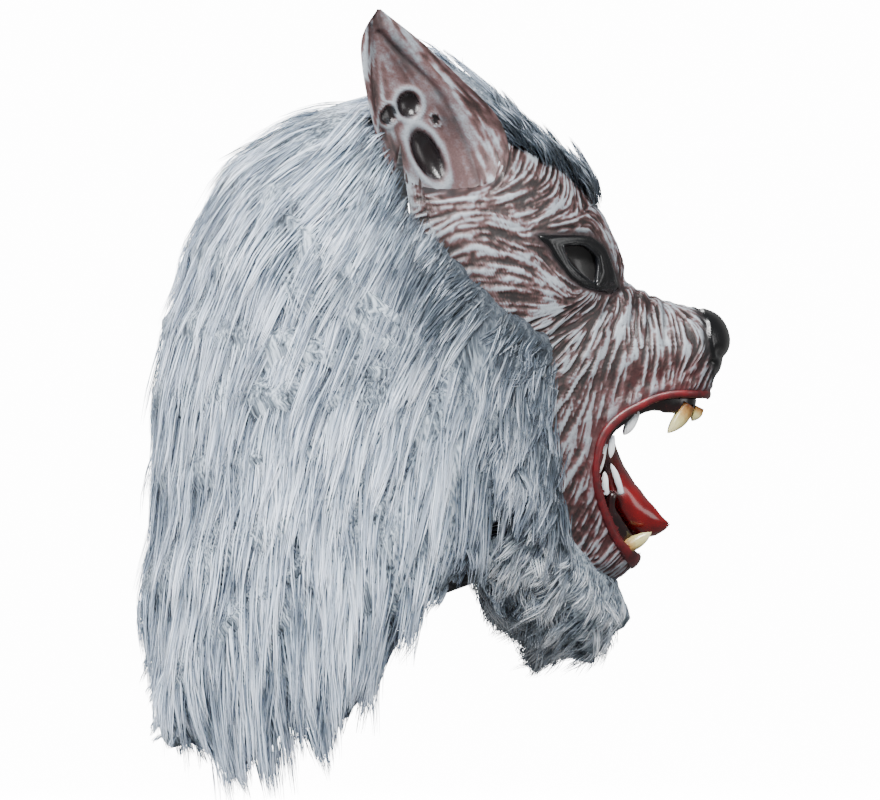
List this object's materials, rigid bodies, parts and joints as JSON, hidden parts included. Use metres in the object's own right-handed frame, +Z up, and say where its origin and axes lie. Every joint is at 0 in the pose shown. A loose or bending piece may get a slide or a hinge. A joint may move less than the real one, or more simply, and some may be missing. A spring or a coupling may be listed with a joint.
{
  "type": "latex wolf mask",
  "caption": "Full-head latex wolf costume mask: snarling muzzle, cupped ears, teeth, tongue and a long-pile fur hood that drops past the neck opening",
  "frame": {"origin": "the head seat: the top of the hollow, where the mask rests on the wearer's crown", "axes": "+X forward out of the muzzle, +Y to the wearer's left, +Z up"},
  "size_m": [0.3876, 0.2496, 0.5105],
  "materials": {
    "painted_latex": "painted latex, sculpted fur grooves",
    "backing_cloth": "dark knitted backing",
    "long_fur": "long grey pile",
    "crest_pile": "light grey pile",
    "beard_pile": "dark matted pile",
    "tongue_latex": "glossy red latex",
    "gum_latex": "glossy dark latex",
    "tooth_resin": "cream cast resin"
  },
  "bodies": {
    "root": {"latex_face": "painted_latex", "hood_backing": "backing_cloth", "fur_hood": "long_fur", "crest_fur": "crest_pile", "beard_fur": "beard_pile", "tongue": "tongue_latex", "upper_gum": "gum_latex", "lower_gum": "gum_latex", "upper_canine_right": "tooth_resin", "upper_canine_left": "tooth_resin", "upper_incisor_right": "tooth_resin", "upper_incisor_left": "tooth_resin", "cheek_tooth_front_right": "tooth_resin", "cheek_tooth_front_left": "tooth_resin", "cheek_tooth_mid_right": "tooth_resin", "cheek_tooth_mid_left": "tooth_resin", "cheek_tooth_rear_right": "tooth_resin", "cheek_tooth_rear_left": "tooth_resin", "lower_tooth_front_right": "tooth_resin", "lower_tooth_front_left": "tooth_resin", "lower_tooth_rear_right": "tooth_resin", "lower_tooth_rear_left": "tooth_resin", "lower_canine_right": "tooth_resin", "lower_canine_left": "tooth_resin"}
  },
  "joints": []
}
